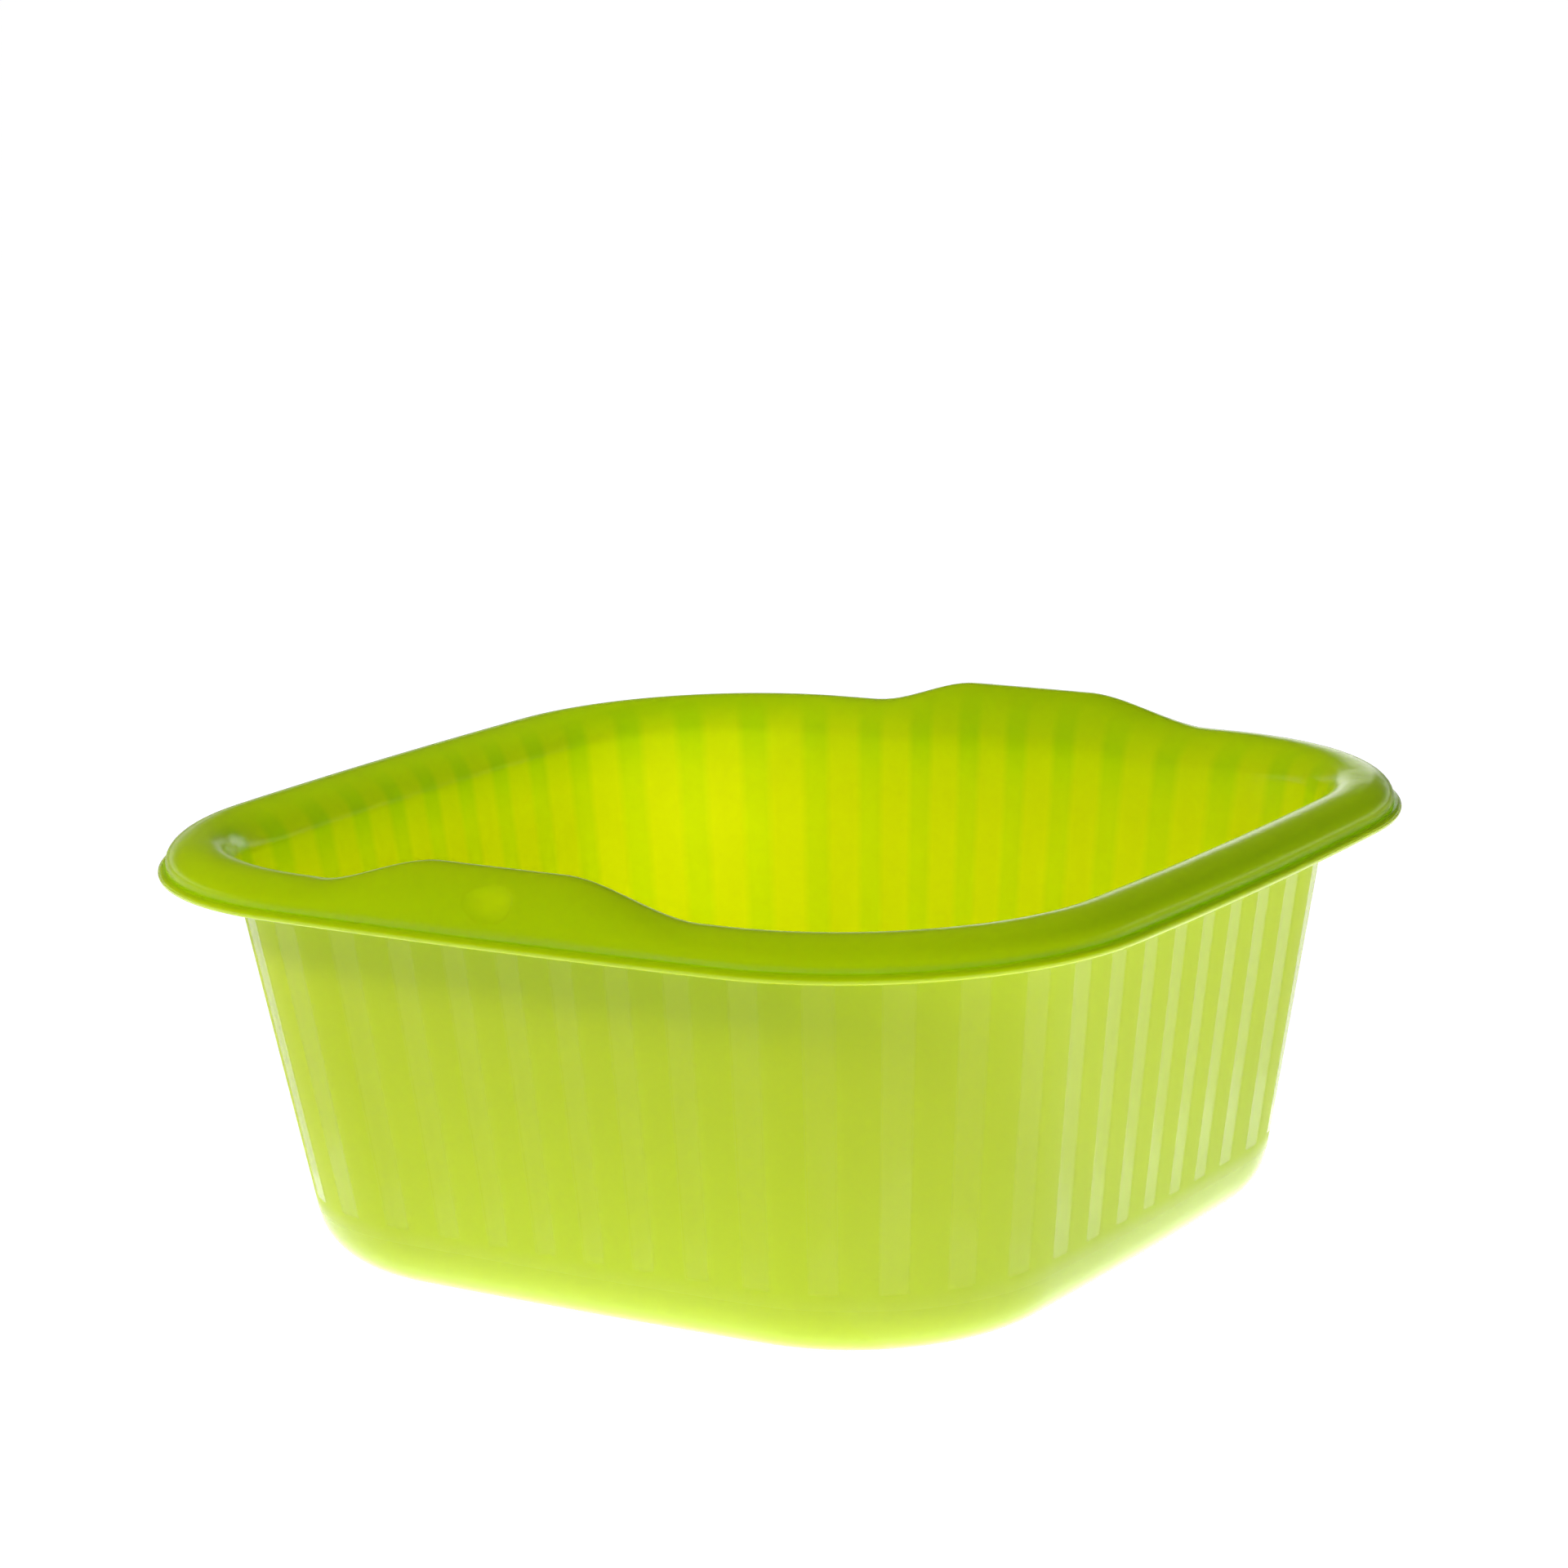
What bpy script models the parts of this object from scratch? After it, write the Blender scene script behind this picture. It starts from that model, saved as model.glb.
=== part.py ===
"""Square wash basin, moulded in one piece of translucent green plastic.

The wall leans out from a rounded base and rolls over, at the top, into a skirt with a small bead
along its lower edge. The roll rises into a low grip in the middle of two opposite sides. Shallow
flutes run up the outside of the wall, and the inside is plain.

Metres, +Z up. The origin is the centre of the base, on the surface that the basin stands on.
The grips are on the -Y and +Y sides, and the -Y grip has a round dimple for the thumb.
"""
import math

import bmesh
import bpy
import numpy as np
from mathutils import Vector

# Rim, from the bead inwards
RIM_WIDTH = 0.350  # over the beads, between the middles of opposite sides
RIM_CORNER = 0.0945  # corner radius of the bead's outer edge
RIM_BOW = math.radians(2.64)  # half the angle that a bowed side turns through
RIM_DROP = 0.0121  # crest to the lower edge of the bead
RIM_THICKNESS = 0.0018
BEAD_REACH = 0.0025  # how far the bead stands out from the skirt
BEAD_HEIGHT = 0.0030
BEAD_EDGE = 0.0007  # rounding along the bead's edges
SKIRT_REACH = 0.0105  # crest line to the skirt's face, sideways
SKIRT_SHOULDER = 0.0076  # crest to where the skirt runs straight down

# Crest and roll
CREST_HEIGHT = 0.1411
CREST_CORNER = 0.0845  # corner radius of the crest line
ROLL_REACH = 0.01045  # crest line to the wall's outer face, carried up to the crest's height
ROLL_DEPTH = 0.0121  # crest to where the inside of the roll meets the straight wall
ROLL_FULLNESS = 0.55  # share of each leg that a quarter curve's handles take

# Grips
GRIP_HEIGHT = 0.0100  # rise of the crest over the rest of the rim
GRIP_SET_BACK = 0.0017  # how far the risen crest lies inside the line of the rest
GRIP_LENGTH = 0.137
GRIP_FLAT = 0.046  # length of the level top

# Wall and base
WALL_THICKNESS = 0.0020
WALL_DRAFT = math.radians(8.03)
WALL_TOP_CORNER = 0.0664  # corner radius of the outer face at the crest's height
BASE_CORNER = 0.0680  # corner radius of the outer face at the base
BASE_BOW = math.radians(1.55)
BASE_FILLET = 0.0181  # outer radius between wall and base
FOOT_WIDTH = 0.0115  # flat band that the basin stands on
PANEL_RISE = 0.0012  # middle of the base, above the foot
PANEL_SLOPE = 0.0016  # width of the step between foot and middle
GATE_RADIUS = 0.0050  # round mark left where the plastic was injected
GATE_DEPTH = 0.0004

# Flutes
FLUTE_COUNT = 48
FLUTE_SHARE = 0.43  # part of the pitch that the flute takes, the rib having the rest
FLUTE_DEPTH = 0.0005
FLUTE_BEVEL = 0.0004  # width of the slope along a flute's edges
FLUTE_START = 0.0225  # height of the flutes' lower ends
FLUTE_TOP_GAP = 0.0010  # from the flutes' upper ends up to the roll

# Thumb dimple
DIMPLE_WIDTH = 0.0252  # of the lens that cuts the dimple
DIMPLE_DEPTH = 0.0009
DIMPLE_DROP = 0.0068  # below the top of the grip
DIMPLE_CROWN = 0.0030  # half the thickness of the lens

# Fineness
FILLET_STEPS = 4
ROLL_STEPS = 4
UNDERSIDE_STEPS = 3
DIMPLE_SEGMENTS = 24
DIMPLE_SEARCH_STEPS = 60
SHARP_ANGLE = math.radians(32)

# Plastic
PLASTIC_COLOUR = (0.52, 0.68, 0.03, 1.0)
PLASTIC_ROUGHNESS = 0.3
PLASTIC_TRANSLUCENCY = 0.5

CREST_HALF = RIM_WIDTH / 2 - BEAD_REACH - SKIRT_REACH
WALL_TOP_HALF = CREST_HALF - ROLL_REACH


class Outline:
    """Square with round corners and slightly bowed sides, one arc for each."""

    def __init__(self, half, corner, bow):
        turn = math.cos(bow) - math.sin(bow)
        self.half = half
        self.corner = corner
        self.side_radius = (half - corner * turn) / (1 - turn)
        self.corner_centre = (self.side_radius - corner) * math.sin(bow)
        end_x = half - self.side_radius * (1 - math.cos(bow))
        end_y = self.side_radius * math.sin(bow)
        self.corner_start = math.atan2(end_y, end_x)

    def folded(self, angle):
        """The same direction, turned and mirrored to lie 0 to 45 degrees from a side's middle."""
        quarter = math.pi / 2
        turned = angle % quarter
        return min(turned, quarter - turned)

    def is_corner(self, angle):
        return self.folded(angle) > self.corner_start

    def reach(self, angle):
        """Distance from the centre to the outline in this direction."""
        angle = self.folded(angle)
        if angle <= self.corner_start:
            centre = self.half - self.side_radius
            along = centre * math.cos(angle)
            off = centre * math.sin(angle)
            return along + math.sqrt(self.side_radius**2 - off**2)
        along = self.corner_centre * (math.cos(angle) + math.sin(angle))
        off = self.corner_centre * (math.cos(angle) - math.sin(angle))
        return along + math.sqrt(self.corner**2 - off**2)


def ring(half, corner, bow, height, lift=0.0):
    """Level loop of the section: its outline, its height and its share of the grip's lift."""
    return np.array([half, corner, bow, height, lift])


def wall_half(height):
    """Half the width over the wall's outer face, carried straight on past the wall's ends."""
    return WALL_TOP_HALF - (CREST_HEIGHT - height) * math.tan(WALL_DRAFT)


def wall_ring(height, inset):
    """Loop at this height, moved in from the wall's outer face."""
    share = height / CREST_HEIGHT
    corner = BASE_CORNER + (WALL_TOP_CORNER - BASE_CORNER) * share
    bow = BASE_BOW + (RIM_BOW - BASE_BOW) * share
    return ring(wall_half(height) - inset, corner - inset, bow, height)


def quarter_curve(crest, foot, foot_handle, steps):
    """Loops on a quarter oval that leaves the crest level and comes to the foot by its handle."""
    crest_handle = crest + ROLL_FULLNESS * (foot - crest)
    crest_handle[3:] = crest[3:]
    loops = []
    for step in range(steps + 1):
        t = step / steps
        weights = ((1 - t) ** 3, 3 * t * (1 - t) ** 2, 3 * t**2 * (1 - t), t**3)
        points = (crest, crest_handle, foot_handle, foot)
        loops.append(sum(weight * point for weight, point in zip(weights, points)))
    return loops


def handle_towards(foot, crest, above):
    """Handle over a quarter curve's foot, in line with the surface that the curve runs on from."""
    handle = above.copy()
    handle[3:] = foot[3:] + ROLL_FULLNESS * (crest[3:] - foot[3:])
    return handle


def roll_curve(crest, inset, steps):
    """Loops from the crest inwards and down to the wall's face at this inset."""
    foot_height = CREST_HEIGHT - ROLL_DEPTH
    foot = wall_ring(foot_height, inset)
    handle_height = foot_height + ROLL_FULLNESS * (crest[3] - foot_height)
    handle = handle_towards(foot, crest, wall_ring(handle_height, inset))
    return quarter_curve(crest, foot, handle, steps)


def skirt_curve(crest, inset, steps):
    """Loops from the crest outwards and down to the skirt's face at this inset."""
    face = RIM_WIDTH / 2 - BEAD_REACH - inset
    corner = RIM_CORNER - BEAD_REACH - inset
    foot = ring(face, corner, RIM_BOW, CREST_HEIGHT - SKIRT_SHOULDER)
    return quarter_curve(crest, foot, handle_towards(foot, crest, foot), steps)


def bead_loops():
    """Loops round the bead, from the skirt's inner face to its outer face."""
    bottom = CREST_HEIGHT - RIM_DROP
    top = bottom + BEAD_HEIGHT
    inner = BEAD_REACH + RIM_THICKNESS
    places = (
        (inner, bottom),
        (BEAD_EDGE, bottom),
        (0.0, bottom + BEAD_EDGE),
        (0.0, top - BEAD_EDGE),
        (BEAD_EDGE, top),
        (BEAD_REACH, top),
    )
    return [ring(RIM_WIDTH / 2 - inset, RIM_CORNER - inset, RIM_BOW, height) for inset, height in places]


def fillet_loops(inset):
    """Loops round the bend between base and wall, from the base up, at this inset."""
    middle = wall_half(0.0) + BASE_FILLET * math.tan(WALL_DRAFT) - BASE_FILLET / math.cos(WALL_DRAFT)
    radius = BASE_FILLET - inset
    loops = []
    for step in range(FILLET_STEPS + 1):
        angle = (math.pi / 2 - WALL_DRAFT) * step / FILLET_STEPS
        height = BASE_FILLET - radius * math.cos(angle)
        reach = middle + radius * math.sin(angle)
        loops.append(wall_ring(height, wall_half(height) - reach))
    return loops


def panel_loops(foot_loop, surface):
    """Loops of the step between the foot and the raised middle of the base."""
    loops = []
    for inset, height in ((FOOT_WIDTH, 0.0), (FOOT_WIDTH + PANEL_SLOPE, PANEL_RISE)):
        loops.append(ring(foot_loop[0] - inset, foot_loop[1] - inset, BASE_BOW, surface + height))
    return loops


def section_loops():
    """All loops, from the middle of the underside, round the rim, to the middle of the floor."""
    crest = ring(CREST_HALF, CREST_CORNER, RIM_BOW, CREST_HEIGHT, 1.0)
    crest_under = ring(CREST_HALF, CREST_CORNER, RIM_BOW, CREST_HEIGHT - RIM_THICKNESS, 1.0)
    outer_fillet = fillet_loops(0.0)
    inner_fillet = fillet_loops(WALL_THICKNESS)
    under_roll = roll_curve(crest_under, 0.0, UNDERSIDE_STEPS)
    under_skirt = skirt_curve(crest_under, RIM_THICKNESS, UNDERSIDE_STEPS)
    outer_skirt = skirt_curve(crest, 0.0, ROLL_STEPS)
    inner_roll = roll_curve(crest, WALL_THICKNESS, ROLL_STEPS)

    outside = panel_loops(outer_fillet[0], 0.0)[::-1] + outer_fillet
    flutes = [wall_ring(FLUTE_START, 0.0), wall_ring(CREST_HEIGHT - ROLL_DEPTH - FLUTE_TOP_GAP, 0.0)]
    rim_under = under_roll[::-1] + under_skirt[1:] + bead_loops()
    rim_over = outer_skirt[::-1] + inner_roll[1:]
    inside = inner_fillet[::-1] + panel_loops(inner_fillet[0], WALL_THICKNESS)
    return outside + flutes + rim_under + rim_over + inside, len(outside)


def grip_share(crest, angle):
    """Share of its full height that the grip has in this direction: 0 on the plain rim."""
    if abs(math.sin(angle)) < abs(math.cos(angle)):
        return 0.0
    off_middle = abs(crest.reach(angle) * math.cos(angle))
    ramp = (GRIP_LENGTH - GRIP_FLAT) / 2
    share = min(max((GRIP_LENGTH / 2 - off_middle) / ramp, 0.0), 1.0)
    return share**2 * (3 - 2 * share)


def directions(crest):
    """Directions of the section's copies, each with whether a flute lies on the side it turns to.

    Each side has a rib in its middle, and the flutes lie between the ribs. A rib has a copy at
    each edge, and one in its middle where the basin bends: at the corners and on the grips.
    """
    wall = Outline(*wall_ring(FLUTE_START, 0.0)[:3])
    pitch = 2 * math.pi / FLUTE_COUNT
    half_rib = pitch * (1 - FLUTE_SHARE) / 2
    copies = []
    for rib in range(FLUTE_COUNT):
        middle = rib * pitch
        edges = (middle - half_rib, middle + half_rib)
        copies.append((edges[0], False))
        if wall.is_corner(middle) or max(grip_share(crest, edge) for edge in edges) > 0:
            copies.append((middle, False))
        copies.append((edges[1], True))
    return copies


def around(bm, copies, reaches, heights):
    """Loop of vertices, one in each direction."""
    row = []
    for (angle, _), reach, height in zip(copies, reaches, heights):
        row.append(bm.verts.new((reach * math.cos(angle), reach * math.sin(angle), height)))
    return row


def bridge(bm, lower, upper):
    """Faces between one loop of vertices and the next."""
    faces = []
    for index, vert in enumerate(lower):
        following = (index + 1) % len(lower)
        faces.append(bm.faces.new((vert, lower[following], upper[following], upper[index])))
    return faces


def close(bm, row, height):
    """Fan of faces from a loop to the middle of the basin."""
    middle = bm.verts.new((0.0, 0.0, height))
    for index, vert in enumerate(row):
        bm.faces.new((vert, row[(index + 1) % len(row)], middle))


def basin_mesh():
    """One closed shell, with the flutes sunk into the outside of its wall."""
    bm = bmesh.new()
    loops, flute_row = section_loops()
    crest = Outline(CREST_HALF, CREST_CORNER, RIM_BOW)
    copies = directions(crest)

    rows = []
    for radius, height in ((GATE_RADIUS - GATE_DEPTH, PANEL_RISE + GATE_DEPTH), (GATE_RADIUS, PANEL_RISE)):
        rows.append(around(bm, copies, [radius] * len(copies), [height] * len(copies)))
    gate_rows = len(rows)
    grip_shares = [grip_share(crest, angle) for angle, _ in copies]
    for loop in loops:
        outline = Outline(*loop[:3])
        lifts = [loop[4] * share for share in grip_shares]
        reaches = [outline.reach(angle) - GRIP_SET_BACK * lift for (angle, _), lift in zip(copies, lifts)]
        heights = [loop[3] + GRIP_HEIGHT * lift for lift in lifts]
        rows.append(around(bm, copies, reaches, heights))

    flute_faces = []
    for index in range(len(rows) - 1):
        faces = bridge(bm, rows[index], rows[index + 1])
        if index == gate_rows + flute_row:
            flute_faces = [face for face, (_, in_flute) in zip(faces, copies) if in_flute]
    close(bm, rows[0], PANEL_RISE + GATE_DEPTH)
    close(bm, rows[-1], PANEL_RISE + WALL_THICKNESS)

    bmesh.ops.recalc_face_normals(bm, faces=bm.faces)
    bmesh.ops.inset_region(
        bm,
        faces=flute_faces,
        thickness=FLUTE_BEVEL,
        depth=-FLUTE_DEPTH,
        use_boundary=True,
        use_even_offset=True,
    )
    mesh = bpy.data.meshes.new("basin")
    bm.to_mesh(mesh)
    bm.free()
    mesh.shade_smooth()
    mesh.set_sharp_from_angle(angle=SHARP_ANGLE)
    return mesh


def dimple_seat():
    """Point on the -Y grip's skirt at the dimple's height, and the way that the skirt faces there."""
    crest = ring(CREST_HALF, CREST_CORNER, RIM_BOW, CREST_HEIGHT, 1.0)
    height = CREST_HEIGHT + GRIP_HEIGHT - DIMPLE_DROP
    points = []
    for loop in skirt_curve(crest, 0.0, DIMPLE_SEARCH_STEPS):
        reach = loop[0] - GRIP_SET_BACK * loop[4]
        points.append(Vector((0.0, -reach, loop[3] + GRIP_HEIGHT * loop[4])))
    for above, below in zip(points, points[1:]):
        if below.z <= height:
            break
    share = (above.z - height) / (above.z - below.z)
    fall = (below - above).normalized()
    return above.lerp(below, share), fall.cross(Vector((1.0, 0.0, 0.0)))


def cut_dimple(basin):
    """Shallow round dimple in the skirt of the -Y grip, cut by a flat lens."""
    seat, facing = dimple_seat()
    bm = bmesh.new()
    bmesh.ops.create_uvsphere(bm, u_segments=DIMPLE_SEGMENTS, v_segments=DIMPLE_SEGMENTS // 2, radius=1.0)
    size = Vector((DIMPLE_WIDTH / 2, DIMPLE_WIDTH / 2, DIMPLE_CROWN))
    bmesh.ops.scale(bm, verts=bm.verts, vec=size)
    mesh = bpy.data.meshes.new("dimple_lens")
    bm.to_mesh(mesh)
    bm.free()
    lens = bpy.data.objects.new("dimple_lens", mesh)
    bpy.context.scene.collection.objects.link(lens)
    lens.location = seat + facing * (DIMPLE_CROWN - DIMPLE_DEPTH)
    lens.rotation_euler = facing.to_track_quat("Z", "Y").to_euler()
    lens.hide_render = True
    lens.display_type = "WIRE"
    cut = basin.modifiers.new("dimple", "BOOLEAN")
    cut.operation = "DIFFERENCE"
    cut.solver = "EXACT"
    cut.object = lens


def green_plastic():
    """Translucent lime-green polypropylene."""
    material = bpy.data.materials.new("green_plastic")
    material.use_nodes = True
    shader = material.node_tree.nodes["Principled BSDF"]
    shader.inputs["Base Color"].default_value = PLASTIC_COLOUR
    shader.inputs["Roughness"].default_value = PLASTIC_ROUGHNESS
    shader.inputs["Metallic"].default_value = 0.0
    shader.inputs["Subsurface Weight"].default_value = PLASTIC_TRANSLUCENCY
    shader.inputs["Subsurface Scale"].default_value = WALL_THICKNESS
    return material


def main():
    for old in list(bpy.data.objects):
        bpy.data.objects.remove(old, do_unlink=True)
    basin = bpy.data.objects.new("basin", basin_mesh())
    bpy.context.scene.collection.objects.link(basin)
    basin.data.materials.append(green_plastic())
    cut_dimple(basin)


main()
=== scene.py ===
import math

import bpy
import numpy as np
from mathutils import Matrix, Vector
from mathutils.geometry import interpolate_bezier


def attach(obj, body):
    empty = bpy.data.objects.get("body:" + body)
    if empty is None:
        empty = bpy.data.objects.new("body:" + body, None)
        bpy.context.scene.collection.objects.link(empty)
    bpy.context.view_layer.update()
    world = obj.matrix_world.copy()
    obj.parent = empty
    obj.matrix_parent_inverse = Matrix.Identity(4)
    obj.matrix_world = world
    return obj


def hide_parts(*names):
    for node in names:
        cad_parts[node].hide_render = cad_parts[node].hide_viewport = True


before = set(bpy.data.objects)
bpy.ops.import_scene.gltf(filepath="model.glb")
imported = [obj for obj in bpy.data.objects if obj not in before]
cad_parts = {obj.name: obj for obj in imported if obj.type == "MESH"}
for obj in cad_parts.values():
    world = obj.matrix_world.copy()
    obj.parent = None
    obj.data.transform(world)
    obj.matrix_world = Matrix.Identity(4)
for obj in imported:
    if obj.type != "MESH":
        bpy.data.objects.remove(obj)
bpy.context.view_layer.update()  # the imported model, which the basin below stands for

# Camera
# A long lens at the photograph's place: in front of the basin's near corner and a little above the rim.
CAMERA_PLACE = Vector((0.76797, -1.20316, 0.44352))
CAMERA_YAW = math.radians(32.604)
CAMERA_PITCH = math.radians(11.774)
CAMERA_ROLL = math.radians(-1.641)
CAMERA_LENS = 102.35  # mm, on a 36 mm wide sensor

bpy.ops.object.select_all(action="DESELECT")
bpy.ops.object.camera_add(location=CAMERA_PLACE)
camera = bpy.context.object
camera.name = "photo_camera"
camera.data.lens = CAMERA_LENS
camera.data.sensor_width = 36.0
turn = Matrix.Rotation(CAMERA_YAW, 3, "Z") @ Matrix.Rotation(math.pi / 2 - CAMERA_PITCH, 3, "X")
camera.rotation_euler = (turn @ Matrix.Rotation(CAMERA_ROLL, 3, "Z")).to_euler()
bpy.context.scene.camera = camera

# Basin
# One moulding of translucent green polypropylene, 2 mm thick: base, wall, rolled rim and grips.
# Its section is drawn point by point, spun round the middle, and drawn out to the square plan.
RIM_HALF = 0.175  # over the bead
RIM_CORNER = 0.0945
RIM_BOW = math.radians(2.64)  # turn of a bowed side from its middle to its corner
BEAD_BOTTOM = 0.1290
BEAD_TOP = 0.1320
BEAD_REACH = 0.0025  # how far it stands out from the skirt
RIM_THICKNESS = 0.0018
CREST_HALF = 0.162
CREST_HEIGHT = 0.1411
CREST_CORNER = 0.0845
SKIRT_TOP = 0.1335  # where the skirt starts to bend over into the roll
ROLL_FOOT = 0.1290  # where the wall does
FULLNESS = 0.55  # of the quarter ovals that make the roll
GRIP_SET_BACK = 0.0017  # the roll draws in by this much at a grip's top
GRIP_FLAT = 0.046  # length of a grip's level top
NEAR_GRIP_HEIGHT = 0.0099
NEAR_GRIP_LENGTH = 0.142
NEAR_GRIP_MIDDLE = -0.0005
FAR_GRIP_HEIGHT = 0.0094
FAR_GRIP_LENGTH = 0.1325
FAR_GRIP_MIDDLE = 0.0018
WALL_THICKNESS = 0.0020
WALL_DRAFT = math.radians(8.03)
WALL_TOP_HALF = 0.15155
WALL_TOP_CORNER = 0.0664
BASE_CORNER = 0.0680
BASE_BOW = math.radians(1.55)
BASE_FILLET = 0.0181
FOOT_WIDTH = 0.0115
PANEL_RISE = 0.0012
PANEL_SLOPE = 0.0016
GATE_RADIUS = 0.0050
GATE_DEPTH = 0.0004
FLUTES = 48
STEPS_IN_FLUTE = 3
STEPS_PER_FLUTE = 7  # with the rib beside it
PATTERN_MIDDLE = (0.0019, 0.0021)  # the flutes' own middle, a little off the rim's
FLUTE_BOTTOM = 0.0225
FLUTE_TOP = 0.1280
HALF_FLUTE = STEPS_IN_FLUTE / 2 + 0.1  # in steps, with a little to spare
HEIGHT_TO_SPARE = 0.001
FLUTE_DEPTH = 0.00003  # barely sunk, as they show by their polish and not as relief
FLUTE_BEVEL = 0.0003
GLOW_BANDS_TOP = 0.1405  # the painted glow bands behind the flutes, lighter as if more light shone through, run up over the roll
GLOW_BANDS_FADE = 0.0095
GLOW_BANDS_OUTSIDE = 0.04  # share of the painted glow that shows on the flutes themselves
DIMPLE_WIDTH = 0.0255
DIMPLE_DEPTH = 0.0008
DIMPLE_CROWN = 0.0030  # half the thickness of the lens that cuts it
DIMPLE_PLACE = 0.1443  # its middle's height
DIMPLE_ASIDE = -0.0012
DIMPLE_LEAN = (0.10, -0.08)  # the dimple is deepest to the right and low down
WALL_COLOUR = (0.60, 0.915, 0.004, 1.0)
# painted glow: the colour behind the flutes, lighter as if more light shone through the thinner wall
PAINTED_GLOW_COLOUR = (0.745, 0.985, 0.004, 1.0)
RIM_PAINTED_SHADE = (0.98, 0.85, 0.50, 1.0)  # painted shade: the wall's colour times this is the rim's, darker as less light comes through two layers
RIM_FADE_FROM = 0.1220  # the inner wall takes on the rim's painted shade between these heights
RIM_FADE_TO = 0.1330
WALL_LIGHT_DEPTH = 0.012  # how far light spreads in the plastic
RIM_LIGHT_DEPTH = 0.006
LIGHT_SPREAD = (1.0, 1.0, 0.2)  # share of that depth for red, green and blue
GLOSS = 0.18
UNEVEN_GLOSS = 0.03
GLOSS_PATCHES = 30.0  # patches to a metre or so
DULL = 0.56  # the outside of the wall, but for the flutes
RIPPLE_HEIGHT = 0.00015
RIPPLES = 90.0  # ripples to a metre or so
RIPPLE_DETAIL = 3.0
MERGE_WITHIN = 0.00001
SMOOTH_UP_TO = math.radians(30)


def wall_half(height):
    """Half the width over the wall's outer face."""
    return WALL_TOP_HALF - (CREST_HEIGHT - height) * math.tan(WALL_DRAFT)


def wall_point(height, inset):
    """Point of the section at this height, this far in from the wall's outer face."""
    return Vector((wall_half(height) - inset, 0.0, height))


def straight(start, end, steps):
    """Points from start to end, without the first."""
    return [start.lerp(end, (step + 1) / steps) for step in range(steps)]


def quarter(crest, foot, leaning, steps):
    """Points of a quarter oval, level at the crest and in line with the leaning wall at its foot."""
    crest_handle = Vector((crest.x + FULLNESS * (foot.x - crest.x), 0.0, crest.z))
    rise = FULLNESS * (crest.z - foot.z)
    foot_handle = foot + Vector((rise * math.tan(leaning), 0.0, rise))
    return interpolate_bezier(crest, crest_handle, foot_handle, foot, steps + 1)


def fillet(inset, steps):
    """Points round the bend from the base up to the wall."""
    radius = BASE_FILLET - inset
    middle = wall_half(0.0) + BASE_FILLET * math.tan(WALL_DRAFT) - BASE_FILLET / math.cos(WALL_DRAFT)
    points = []
    for step in range(steps + 1):
        angle = (math.pi / 2 - WALL_DRAFT) * step / steps
        points.append(
            Vector((middle + radius * math.sin(angle), 0.0, BASE_FILLET - radius * math.cos(angle)))
        )
    return points


def bead(steps):
    """Points round the bead, from the skirt's inner face to the groove over the bead."""
    radius = (BEAD_TOP - BEAD_BOTTOM) / 2
    middle = Vector((RIM_HALF - radius, 0.0, (BEAD_TOP + BEAD_BOTTOM) / 2))
    points = [Vector((RIM_HALF - BEAD_REACH - RIM_THICKNESS, 0.0, BEAD_BOTTOM))]
    for step in range(steps + 1):
        angle = math.pi * (step / steps - 0.5)
        points.append(middle + radius * Vector((math.cos(angle), 0.0, math.sin(angle))))
    points.append(Vector((RIM_HALF - BEAD_REACH, 0.0, BEAD_TOP)))
    return points


def wall_plan(point):
    """Corner radius and bow of the wall's outline through this point of the section."""
    share = point.z / CREST_HEIGHT
    corner = BASE_CORNER + (WALL_TOP_CORNER - BASE_CORNER) * share
    bow = BASE_BOW + (RIM_BOW - BASE_BOW) * share
    return corner - (wall_half(point.z) - point.x), bow


def rim_plan(point):
    """The same on the skirt and the bead."""
    return RIM_CORNER - (RIM_HALF - point.x), RIM_BOW


def draw(points, plan_at, lift_from=CREST_HEIGHT, lift_to=CREST_HEIGHT + 1.0):
    """Add points to the section, each with its corner radius, bow and share of the grip's lift.

    The grips lift nothing unless the caller says between which heights the lift sets in.
    """
    for point in points:
        lift = max(point.z - lift_from, 0.0) / (lift_to - lift_from)
        section.append(point)
        plan.append((*plan_at(point), lift))


def draw_quarter(points, foot_plan):
    """Add a quarter oval, whose outline changes evenly from the crest line's to its foot's."""
    top, foot = sorted((points[0], points[-1]), key=lambda point: -point.z)
    foot_corner, foot_bow = foot_plan(foot)

    def plan_at(point):
        share = (point.x - foot.x) / (top.x - foot.x)
        corner = foot_corner + (CREST_CORNER - foot_corner) * share
        return corner, foot_bow + (RIM_BOW - foot_bow) * share

    draw(points, plan_at, foot.z, top.z)


crest = Vector((CREST_HALF, 0.0, CREST_HEIGHT))
crest_under = crest - Vector((0.0, 0.0, RIM_THICKNESS))
outer_foot = Vector((RIM_HALF - BEAD_REACH, 0.0, SKIRT_TOP))
inner_foot = outer_foot - Vector((RIM_THICKNESS, 0.0, 0.0))
outer_fillet = fillet(0.0, steps=10)
inner_fillet = fillet(WALL_THICKNESS, steps=10)
foot_edge = outer_fillet[0] - Vector((FOOT_WIDTH, 0.0, 0.0))
panel_edge = foot_edge + Vector((-PANEL_SLOPE, 0.0, PANEL_RISE))
up = Vector((0.0, 0.0, WALL_THICKNESS))
wall_foot = wall_point(ROLL_FOOT, WALL_THICKNESS)
gate = [
    Vector((0.0, 0.0, PANEL_RISE + GATE_DEPTH)),
    Vector((GATE_RADIUS - GATE_DEPTH, 0.0, PANEL_RISE + GATE_DEPTH)),
    Vector((GATE_RADIUS, 0.0, PANEL_RISE)),
]
section = []
plan = []
draw(gate, lambda point: (point.x, 0.0))
draw([panel_edge, foot_edge] + outer_fillet, wall_plan)
draw([wall_point(FLUTE_BOTTOM, 0.0)], wall_plan)
first_in_flute = len(section) - 1
draw(straight(section[-1], wall_point(FLUTE_TOP, 0.0), steps=8), wall_plan)
last_in_flute = len(section) - 1
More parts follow.
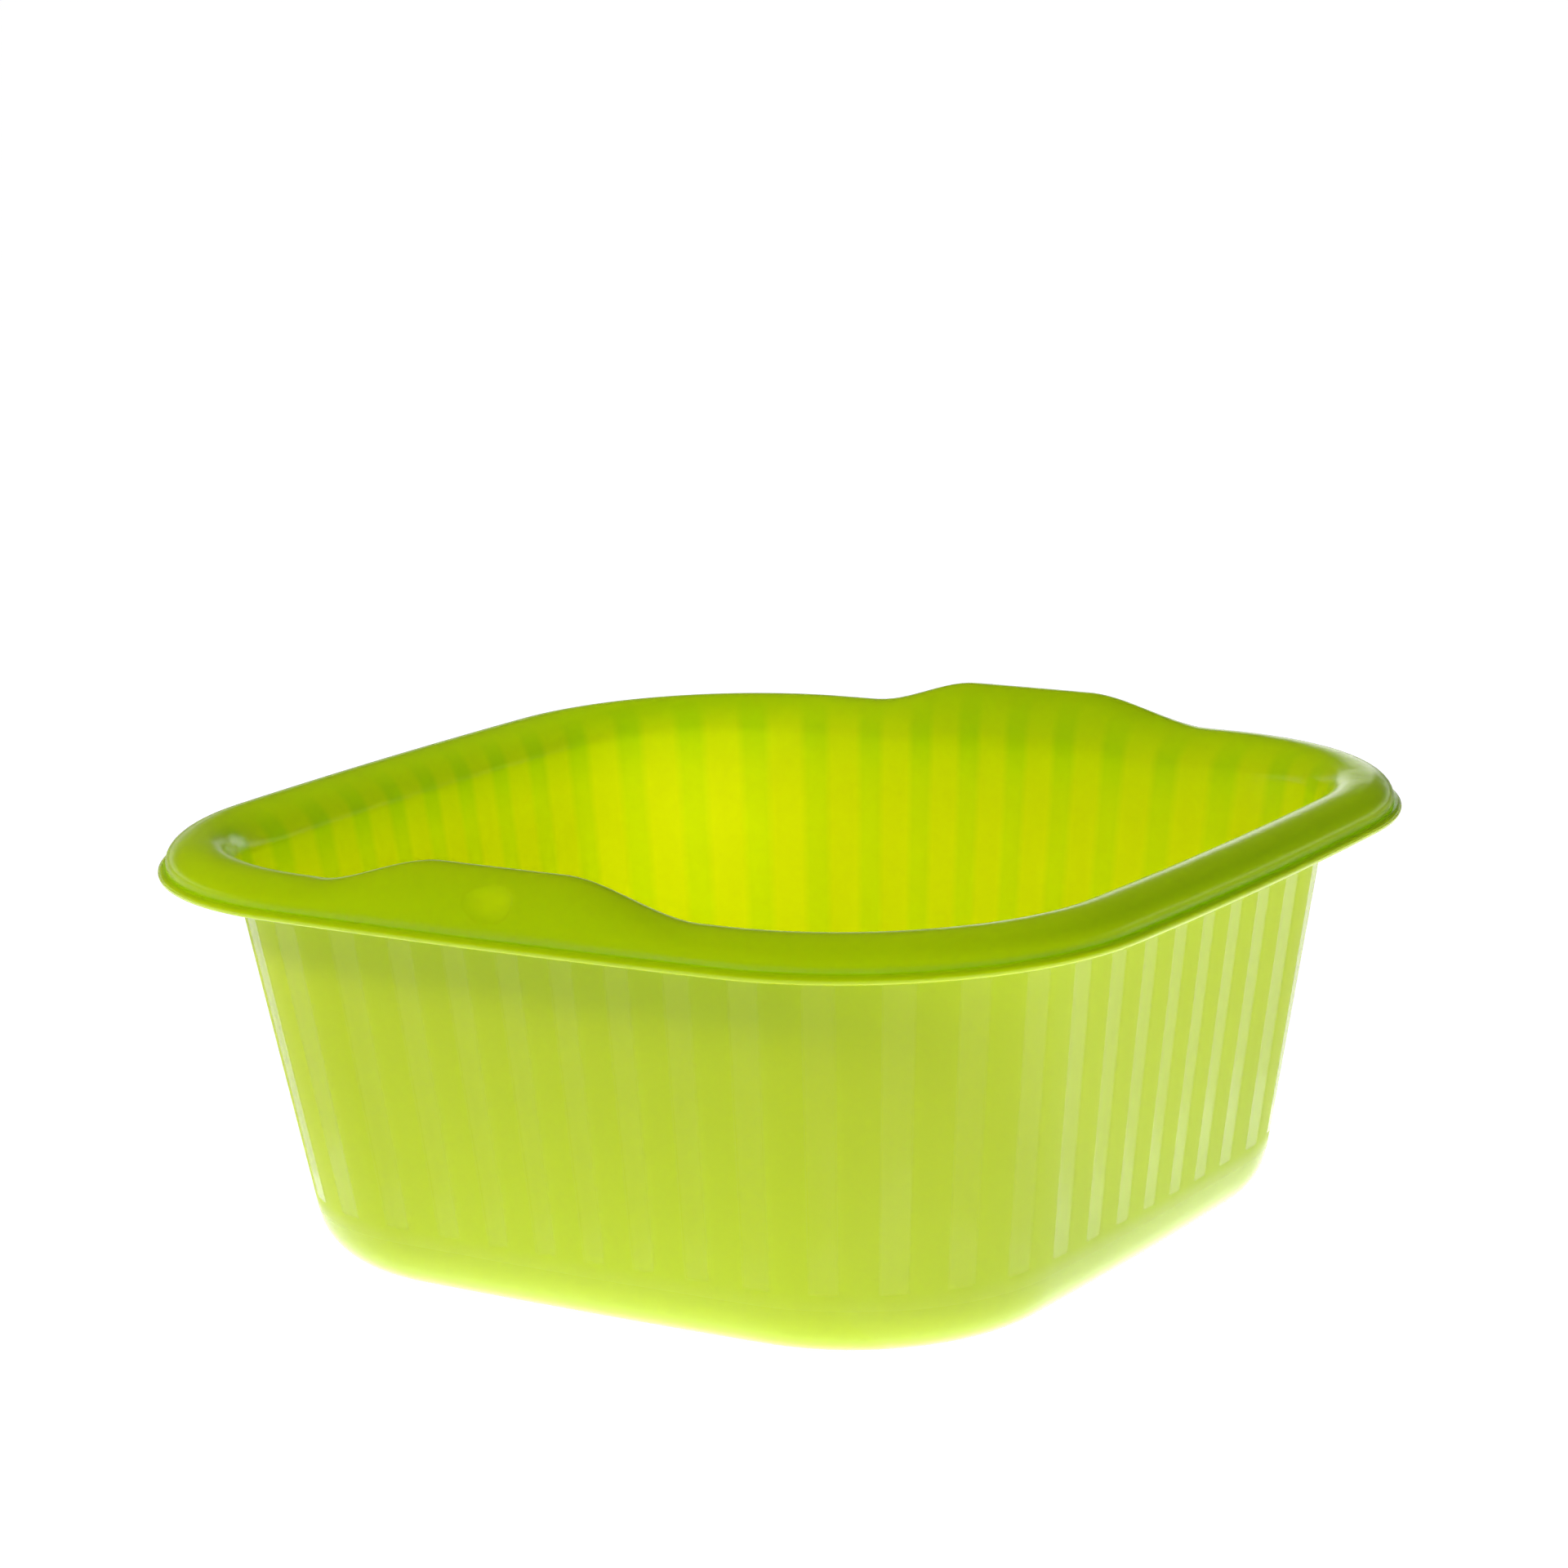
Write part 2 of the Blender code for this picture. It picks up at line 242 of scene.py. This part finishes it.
draw_quarter(quarter(crest_under, wall_point(ROLL_FOOT, 0.0), WALL_DRAFT, steps=10)[::-1], wall_plan)
draw_quarter(quarter(crest_under, inner_foot, leaning=0.0, steps=8)[1:], rim_plan)
draw(bead(steps=8), rim_plan)
first_of_skirt = len(section)
draw_quarter(quarter(crest, outer_foot, leaning=0.0, steps=12)[::-1], rim_plan)
first_inside = len(section)
draw_quarter(quarter(crest, wall_foot, WALL_DRAFT, steps=14)[1:], wall_plan)
draw(straight(section[-1], inner_fillet[-1], steps=8), wall_plan)
draw(inner_fillet[-2::-1] + [foot_edge + up, panel_edge + up], wall_plan)
draw([Vector((0.0, 0.0, PANEL_RISE + WALL_THICKNESS))], lambda point: (point.x, 0.0))

bpy.ops.object.select_all(action="DESELECT")
bpy.ops.mesh.primitive_plane_add(size=0.001, location=section[0])
basin = bpy.context.object
basin.name = "moulded_basin"
bpy.ops.object.transform_apply()
bpy.ops.object.mode_set(mode="EDIT")
bpy.ops.mesh.select_mode(type="VERT")
bpy.ops.mesh.select_all(action="SELECT")
bpy.ops.mesh.merge(type="CENTER")
for point, following in zip(section, section[1:]):
    bpy.ops.mesh.extrude_vertices_move(TRANSFORM_OT_translate={"value": following - point})
bpy.ops.object.mode_set(mode="OBJECT")

# Each point of the section keeps its number through the spin, to be found again on every copy.
numbers = basin.data.attributes.new("place_in_section", "INT", "POINT")
neighbours = {}
for edge in basin.data.edges:
    a, b = edge.vertices
    neighbours.setdefault(a, []).append(b)
    neighbours.setdefault(b, []).append(a)
ends = [vertex for vertex, beside in neighbours.items() if len(beside) == 1]
order = [min(ends, key=lambda vertex: basin.data.vertices[vertex].co.z)]
while len(order) < len(section):
    order.append(next(vertex for vertex in neighbours[order[-1]] if vertex not in order[-2:]))
for number, vertex in enumerate(order):
    numbers.data[vertex].value = number

bpy.ops.object.mode_set(mode="EDIT")
bpy.ops.mesh.select_all(action="SELECT")
bpy.ops.mesh.spin(
    steps=FLUTES * STEPS_PER_FLUTE, angle=2 * math.pi, center=(0.0, 0.0, 0.0), axis=(0.0, 0.0, 1.0)
)
bpy.ops.mesh.select_all(action="SELECT")
bpy.ops.mesh.remove_doubles(threshold=MERGE_WITHIN)
bpy.ops.mesh.normals_make_consistent(inside=False)
bpy.ops.object.mode_set(mode="OBJECT")


def read_places():
    """Where each point of the basin is, one row for each."""
    places = np.empty(len(basin.data.vertices) * 3)
    basin.data.vertices.foreach_get("co", places)
    return places.reshape(-1, 3)


def read_attribute(name, kind):
    """The attribute's value at each point of the basin."""
    values = np.empty(len(basin.data.vertices), dtype=kind)
    basin.data.attributes[name].data.foreach_get("value", values)
    return values


def write_attribute(name, values):
    """A new attribute with a value for each point of the basin."""
    attribute = basin.data.attributes.new(name, "FLOAT", "POINT")
    attribute.data.foreach_set("value", values.astype(np.float32))


# Drawn out from round to square: every point slides straight out or in, along its own direction.
# The directions are turned a little first, so that the flutes stand round their own middle.
place = read_places()
number = read_attribute("place_in_section", np.int32)
angle = np.arctan2(place[:, 1], place[:, 0])
shift = (PATTERN_MIDDLE[1] * np.cos(angle) - PATTERN_MIDDLE[0] * np.sin(angle)) / WALL_TOP_HALF
angle = angle + shift
corner, bow, lift = np.array(plan)[number].T


def reach(half, corner, bow, angle):
    """Distance from the middle to a square with round corners and bowed sides."""
    turn = np.cos(bow) - np.sin(bow)
    side_radius = (half - corner * turn) / np.maximum(1 - turn, 1e-6)
    corner_centre = (side_radius - corner) * np.sin(bow)
    side_end = side_radius * np.sin(bow)
    corner_start = np.arctan2(side_end, half - side_radius * (1 - np.cos(bow)))
    turned = np.mod(angle, math.pi / 2)
    folded = np.minimum(turned, math.pi / 2 - turned)
    centre = half - side_radius
    on_side = centre * np.cos(folded) + np.sqrt(side_radius**2 - (centre * np.sin(folded)) ** 2)
    off = np.minimum(np.abs(corner_centre * (np.cos(folded) - np.sin(folded))), corner)
    on_corner = corner_centre * (np.cos(folded) + np.sin(folded)) + np.sqrt(corner**2 - off**2)
    return np.where(folded <= corner_start, on_side, on_corner)


def grip_rise(off_middle, length, height):
    """Rise of a grip this far from its middle: a level top between two smooth ramps."""
    share = np.clip((length / 2 - np.abs(off_middle)) / ((length - GRIP_FLAT) / 2), 0.0, 1.0)
    return height * share**2 * (3 - 2 * share)


drawn_half = np.array([point.x for point in section])
drawn_height = np.array([point.z for point in section])
half = drawn_half[number]
out = reach(half, corner, np.where(bow > 0, bow, RIM_BOW), angle)
crest_out = reach(CREST_HALF, CREST_CORNER, RIM_BOW, angle)
along = crest_out * np.cos(angle)
near_rise = grip_rise(along - NEAR_GRIP_MIDDLE, NEAR_GRIP_LENGTH, NEAR_GRIP_HEIGHT)
far_rise = grip_rise(along - FAR_GRIP_MIDDLE, FAR_GRIP_LENGTH, FAR_GRIP_HEIGHT)
on_grip_side = np.abs(np.sin(angle)) > np.abs(np.cos(angle))
rise = np.where(np.sin(angle) < 0, near_rise, far_rise) * on_grip_side
out -= GRIP_SET_BACK * rise / NEAR_GRIP_HEIGHT * lift
place[:, 0] = out * np.cos(angle)
place[:, 1] = out * np.sin(angle)
place[:, 2] = drawn_height[number] + rise * lift
basin.data.vertices.foreach_set("co", place.ravel())
basin.data.update()

# The flutes are sunk into the outside of the wall, and their floors are marked for the finish.
bpy.ops.object.mode_set(mode="EDIT")
bpy.ops.mesh.select_mode(type="FACE")
bpy.ops.mesh.select_all(action="DESELECT")
bpy.ops.object.mode_set(mode="OBJECT")
step_angle = 2 * math.pi / (FLUTES * STEPS_PER_FLUTE)
from_middle = np.abs(np.mod((angle - shift) / step_angle, STEPS_PER_FLUTE) - STEPS_PER_FLUTE / 2)
for face in basin.data.polygons:
    in_rows = all(first_in_flute <= number[vertex] <= last_in_flute for vertex in face.vertices)
    in_flute = all(from_middle[vertex] < HALF_FLUTE for vertex in face.vertices)
    face.select = in_rows and in_flute
write_attribute("steps_from_flute", from_middle)
bpy.ops.object.mode_set(mode="EDIT")
bpy.ops.mesh.inset(
    thickness=FLUTE_BEVEL, depth=-FLUTE_DEPTH, use_boundary=True, use_even_offset=True
)
bpy.ops.object.mode_set(mode="OBJECT")
flute_floor = basin.data.attributes.new("flute_floor", "FLOAT", "POINT")
for face in basin.data.polygons:
    if face.select:
        for vertex in face.vertices:
            flute_floor.data[vertex].value = 1.0

# The thumb's dimple in the near grip is cut by a flat lens that lies in the skirt's slope.
skirt = []
for row in range(first_of_skirt, first_inside):
    point = section[row]
    lifted = plan[row][2]
    set_back = GRIP_SET_BACK * lifted
    skirt.append(Vector((DIMPLE_ASIDE, set_back - point.x, point.z + NEAR_GRIP_HEIGHT * lifted)))
seat = min(skirt, key=lambda point: abs(point.z - DIMPLE_PLACE))
uphill = (seat - skirt[skirt.index(seat) - 1]).normalized()
sideways = Vector((1.0, 0.0, 0.0))
facing = sideways.cross(uphill)
lens_way = (facing + DIMPLE_LEAN[0] * sideways + DIMPLE_LEAN[1] * uphill).normalized()
bpy.ops.object.select_all(action="DESELECT")
bpy.ops.mesh.primitive_ico_sphere_add(
    subdivisions=6,
    radius=1.0,
    location=seat + facing * (DIMPLE_CROWN - DIMPLE_DEPTH),
    rotation=lens_way.to_track_quat("Z", "Y").to_euler(),
    scale=(DIMPLE_WIDTH / 2, DIMPLE_WIDTH / 2, DIMPLE_CROWN),
)
lens = bpy.context.object
bpy.ops.object.transform_apply()
bpy.ops.object.select_all(action="DESELECT")
basin.select_set(True)
bpy.context.view_layer.objects.active = basin
dimple = basin.modifiers.new("dimple", "BOOLEAN")
dimple.operation = "DIFFERENCE"
dimple.solver = "EXACT"
dimple.object = lens
bpy.ops.object.modifier_apply(modifier=dimple.name)
bpy.data.objects.remove(lens, do_unlink=True)
bpy.ops.object.shade_smooth_by_angle(angle=SMOOTH_UP_TO)

# The cut leaves chance values at the dimple's new points, so these take those of the plain skirt.
place = read_places()
number = read_attribute("place_in_section", np.int32)
floors = read_attribute("flute_floor", np.float32)
in_dimple = np.linalg.norm(place - np.array(seat), axis=1) < DIMPLE_WIDTH / 2
number[in_dimple] = first_of_skirt
floors[in_dimple] = 0.0

# Each point of the inner wall knows whether it lies behind a flute, where the wall is thinner; there its
# colour is painted lighter, as painted glow of light shining through.
height = drawn_height[number]
inside = number >= first_inside
behind_flute = read_attribute("steps_from_flute", np.float32) < HALF_FLUTE
behind_flute &= height > FLUTE_BOTTOM - HEIGHT_TO_SPARE
fading = np.clip((GLOW_BANDS_TOP - height) / GLOW_BANDS_FADE, 0.0, 1.0)
write_attribute("painted_glow_bands", np.where(inside, behind_flute * fading, GLOW_BANDS_OUTSIDE * floors))

# The outside of the wall is dull between the polished flutes.
dull = (number >= first_in_flute) & (number <= last_in_flute)
write_attribute("dull_finish", dull * (1.0 - floors))

# Each point also knows how far it is into the rim, where two layers of plastic lie behind each other;
# there the colour is darkened as painted shade, and light spreads less far.
ramp = np.clip((height - RIM_FADE_FROM) / (RIM_FADE_TO - RIM_FADE_FROM), 0.0, 1.0)
write_attribute("into_rim", np.where(inside, ramp**2 * (3 - 2 * ramp), number > last_in_flute))

# Green plastic: light goes some millimetres into it, and its skin is a little uneven. Its colour is
# painted lighter behind the flutes as painted glow, and darker in the rim as painted shade.
plastic = bpy.data.materials.new("lime_plastic")
plastic.use_nodes = True
nodes = plastic.node_tree.nodes
links = plastic.node_tree.links
shader = nodes["Principled BSDF"]


def attribute_node(name):
    """Node that gives one of the basin's own attributes."""
    node = nodes.new("ShaderNodeAttribute")
    node.attribute_name = name
    return node


rim_node = attribute_node("into_rim")
glow_bands_node = attribute_node("painted_glow_bands")
dull_node = attribute_node("dull_finish")
# painted glow: the colour turns lighter behind the flutes
tone = nodes.new("ShaderNodeMix")
tone.data_type = "RGBA"
tone.inputs["A"].default_value = WALL_COLOUR
tone.inputs["B"].default_value = PAINTED_GLOW_COLOUR
# painted shade: the colour darkens into the rim
rim_shade = nodes.new("ShaderNodeMix")
rim_shade.data_type = "RGBA"
rim_shade.blend_type = "MULTIPLY"
rim_shade.inputs["B"].default_value = RIM_PAINTED_SHADE
links.new(glow_bands_node.outputs["Fac"], tone.inputs["Factor"])
links.new(tone.outputs["Result"], rim_shade.inputs["A"])
links.new(rim_node.outputs["Fac"], rim_shade.inputs["Factor"])
links.new(rim_shade.outputs["Result"], shader.inputs["Base Color"])
depth = nodes.new("ShaderNodeMapRange")
depth.inputs["To Min"].default_value = WALL_LIGHT_DEPTH
depth.inputs["To Max"].default_value = RIM_LIGHT_DEPTH
links.new(rim_node.outputs["Fac"], depth.inputs["Value"])
links.new(depth.outputs["Result"], shader.inputs["Subsurface Scale"])
where = nodes.new("ShaderNodeTexCoord")
cloud = nodes.new("ShaderNodeTexNoise")
cloud.inputs["Scale"].default_value = GLOSS_PATCHES
links.new(where.outputs["Object"], cloud.inputs["Vector"])
gloss = nodes.new("ShaderNodeMapRange")
gloss.inputs["To Min"].default_value = GLOSS - UNEVEN_GLOSS
gloss.inputs["To Max"].default_value = GLOSS + UNEVEN_GLOSS
links.new(cloud.outputs["Fac"], gloss.inputs["Value"])
rough = nodes.new("ShaderNodeMix")
rough.inputs["B"].default_value = DULL
links.new(dull_node.outputs["Fac"], rough.inputs["Factor"])
links.new(gloss.outputs["Result"], rough.inputs["A"])
links.new(rough.outputs["Result"], shader.inputs["Roughness"])
ripple = nodes.new("ShaderNodeTexNoise")
ripple.inputs["Scale"].default_value = RIPPLES
ripple.inputs["Detail"].default_value = RIPPLE_DETAIL
links.new(where.outputs["Object"], ripple.inputs["Vector"])
bump = nodes.new("ShaderNodeBump")
bump.inputs["Distance"].default_value = RIPPLE_HEIGHT
links.new(ripple.outputs["Fac"], bump.inputs["Height"])
links.new(bump.outputs["Normal"], shader.inputs["Normal"])
shader.inputs["Subsurface Weight"].default_value = 1.0
shader.inputs["Subsurface Radius"].default_value = LIGHT_SPREAD
basin.data.materials.append(plastic)
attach(basin, "root")
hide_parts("basin")

# Floor
# A wide white table top, matt, seamless up to the horizon. It glows white where it is seen,
# straight or through the plastic, and in the basin's shine only near the basin.
FLOOR_RADIUS = 18.0
FLOOR_HEIGHT = -0.0002  # a hair under the basin's foot
PAPER_COLOUR = (0.9, 0.9, 0.9, 1.0)
PAPER_ROUGHNESS = 0.9
TABLE_GLOW = 1.25
GLOW_SHARE = 0.8  # the rest is lit paper, which keeps the basin's shadow
SHINE_WHOLE = 0.55  # up to this far from the middle the shine shows all the glow
SHINE_GONE = 0.75  # and from here on none

bpy.ops.object.select_all(action="DESELECT")
bpy.ops.mesh.primitive_circle_add(
    vertices=96, radius=FLOOR_RADIUS, fill_type="NGON", location=(0.0, 0.0, FLOOR_HEIGHT)
)
floor = bpy.context.object
floor.name = "white_floor"
bpy.ops.object.transform_apply()
paper = bpy.data.materials.new("white_paper")
paper.use_nodes = True
nodes = paper.node_tree.nodes
links = paper.node_tree.links
matt = nodes["Principled BSDF"]
matt.inputs["Base Color"].default_value = PAPER_COLOUR
matt.inputs["Roughness"].default_value = PAPER_ROUGHNESS
glow = nodes.new("ShaderNodeEmission")
glow.inputs["Strength"].default_value = TABLE_GLOW
path = nodes.new("ShaderNodeLightPath")
seen = nodes.new("ShaderNodeMath")
seen.operation = "MAXIMUM"
seen_in = nodes.new("ShaderNodeMath")
seen_in.operation = "MAXIMUM"
spot = nodes.new("ShaderNodeTexCoord")
off_middle = nodes.new("ShaderNodeVectorMath")
off_middle.operation = "LENGTH"
near_only = nodes.new("ShaderNodeMapRange")
near_only.inputs["From Min"].default_value = SHINE_WHOLE
near_only.inputs["From Max"].default_value = SHINE_GONE
near_only.inputs["To Min"].default_value = 1.0
near_only.inputs["To Max"].default_value = 0.0
shine = nodes.new("ShaderNodeMath")
shine.operation = "MULTIPLY"
share = nodes.new("ShaderNodeMath")
share.operation = "MULTIPLY"
share.inputs[1].default_value = GLOW_SHARE
mix = nodes.new("ShaderNodeMixShader")
links.new(path.outputs["Is Camera Ray"], seen.inputs[0])
links.new(path.outputs["Is Glossy Ray"], shine.inputs[0])
links.new(spot.outputs["Object"], off_middle.inputs[0])
links.new(off_middle.outputs["Value"], near_only.inputs["Value"])
links.new(near_only.outputs["Result"], shine.inputs[1])
links.new(shine.outputs[0], seen.inputs[1])
links.new(seen.outputs[0], seen_in.inputs[0])
links.new(path.outputs["Is Transmission Ray"], seen_in.inputs[1])
links.new(seen_in.outputs[0], share.inputs[0])
links.new(share.outputs[0], mix.inputs["Fac"])
links.new(matt.outputs["BSDF"], mix.inputs[1])
links.new(glow.outputs["Emission"], mix.inputs[2])
links.new(mix.outputs["Shader"], nodes["Material Output"].inputs["Surface"])
floor.data.materials.append(paper)

# Light
# Lit patches of the table top glow up at the basin from all sides, most from behind on the left.
# The room is bright low down behind it and almost dark above and in front.
DIM_ROOM = 0.02
BRIGHT_BACK = 0.60
BRIGHT_UP_TO = 0.03  # height of a direction, 0 at the horizon and 1 straight up
DIM_FROM = 0.18
BACK_WAY = (-0.539, 0.842, 0.0)  # level, from the camera to the basin and on
BACK_DIM = -0.3  # a direction's share of that way, where the bright part starts
BACK_BRIGHT = 0.6  # and where it is at its full brightness

bpy.context.scene.view_settings.view_transform = "Standard"
room = bpy.data.worlds.new("studio_room")
bpy.context.scene.world = room
room.use_nodes = True
nodes = room.node_tree.nodes
links = room.node_tree.links
way = nodes.new("ShaderNodeTexCoord")
apart = nodes.new("ShaderNodeSeparateXYZ")
low = nodes.new("ShaderNodeMapRange")
low.interpolation_type = "SMOOTHSTEP"
low.inputs["From Min"].default_value = DIM_FROM
low.inputs["From Max"].default_value = BRIGHT_UP_TO
behind = nodes.new("ShaderNodeVectorMath")
behind.operation = "DOT_PRODUCT"
behind.inputs[1].default_value = BACK_WAY
back = nodes.new("ShaderNodeMapRange")
back.interpolation_type = "SMOOTHSTEP"
back.inputs["From Min"].default_value = BACK_DIM
back.inputs["From Max"].default_value = BACK_BRIGHT
both = nodes.new("ShaderNodeMath")
both.operation = "MULTIPLY"
strength = nodes.new("ShaderNodeMath")
strength.operation = "MULTIPLY_ADD"
strength.inputs[1].default_value = BRIGHT_BACK
strength.inputs[2].default_value = DIM_ROOM
links.new(way.outputs["Generated"], apart.inputs[0])
links.new(apart.outputs["Z"], low.inputs["Value"])
links.new(way.outputs["Generated"], behind.inputs[0])
links.new(behind.outputs["Value"], back.inputs["Value"])
links.new(low.outputs[0], both.inputs[0])
links.new(back.outputs[0], both.inputs[1])
links.new(both.outputs[0], strength.inputs[0])
path = nodes.new("ShaderNodeLightPath")
seen = nodes.new("ShaderNodeMath")
seen.operation = "MAXIMUM"
links.new(strength.outputs[0], seen.inputs[0])
links.new(path.outputs["Is Camera Ray"], seen.inputs[1])
links.new(seen.outputs[0], nodes["Background"].inputs["Strength"])
nodes["Background"].inputs["Color"].default_value = (1.0, 1.0, 1.0, 1.0)


def soft_lamp(name, place, aim, width, height, brightness, shine_only=False):
    """Large soft lamp, turned to the aim and unseen in reflections, or seen nowhere but there."""
    bpy.ops.object.select_all(action="DESELECT")
    bpy.ops.object.light_add(type="AREA", location=place)
    lamp = bpy.context.object
    lamp.name = name
    lamp.data.shape = "RECTANGLE"
    lamp.data.size = width
    lamp.data.size_y = height
    lamp.data.energy = brightness * math.pi * width * height
    lamp.visible_camera = False
    lamp.visible_glossy = shine_only
    lamp.visible_diffuse = not shine_only
    lamp.visible_transmission = not shine_only
    lamp.rotation_euler = (Vector(aim) - Vector(place)).to_track_quat("-Z", "Y").to_euler()


def table_patch(name, x, y, height, width, depth, brightness, shine_only=False):
    """Patch of the table top that shines straight up."""
    soft_lamp(name, (x, y, height), (x, y, 1.0), width, depth, brightness, shine_only)


table_patch("patch_round", x=0.0, y=0.0, height=0.0005, width=0.6, depth=0.6, brightness=0.99)
table_patch("patch_behind", x=-0.60, y=0.50, height=0.0006, width=0.8, depth=0.8, brightness=2.0)
table_patch("patch_far", x=-0.08, y=0.60, height=0.0007, width=0.6, depth=0.6, brightness=1.2)
table_patch("patch_left", x=-0.60, y=-0.20, height=0.0008, width=0.6, depth=0.6, brightness=1.5)
table_patch("patch_right", x=0.55, y=-0.12, height=0.0009, width=0.6, depth=0.8, brightness=1.18)
table_patch(
    "right_shine", x=0.27, y=0.16, height=0.0010, width=0.34, depth=0.8, brightness=0.26, shine_only=True
)
table_patch(
    "foot_shine", x=0.0, y=0.0, height=0.0011, width=0.36, depth=0.36, brightness=0.45, shine_only=True
)
soft_lamp(
    "front_strip",
    place=(-0.60, -1.50, 1.30),
    aim=(0.0, -0.15, 0.11),
    width=1.5,
    height=0.25,
    brightness=12.0,
)
soft_lamp(
    "back_box",
    place=(-0.90, 1.30, 1.20),
    aim=(0.0, 0.0, 0.10),
    width=1.2,
    height=0.6,
    brightness=4.2,
)
soft_lamp(
    "back_shine",
    place=(-0.28, 0.90, 0.22),
    aim=(0.27, 0.076, 0.14),
    width=0.34,
    height=0.25,
    brightness=0.8,
    shine_only=True,
)
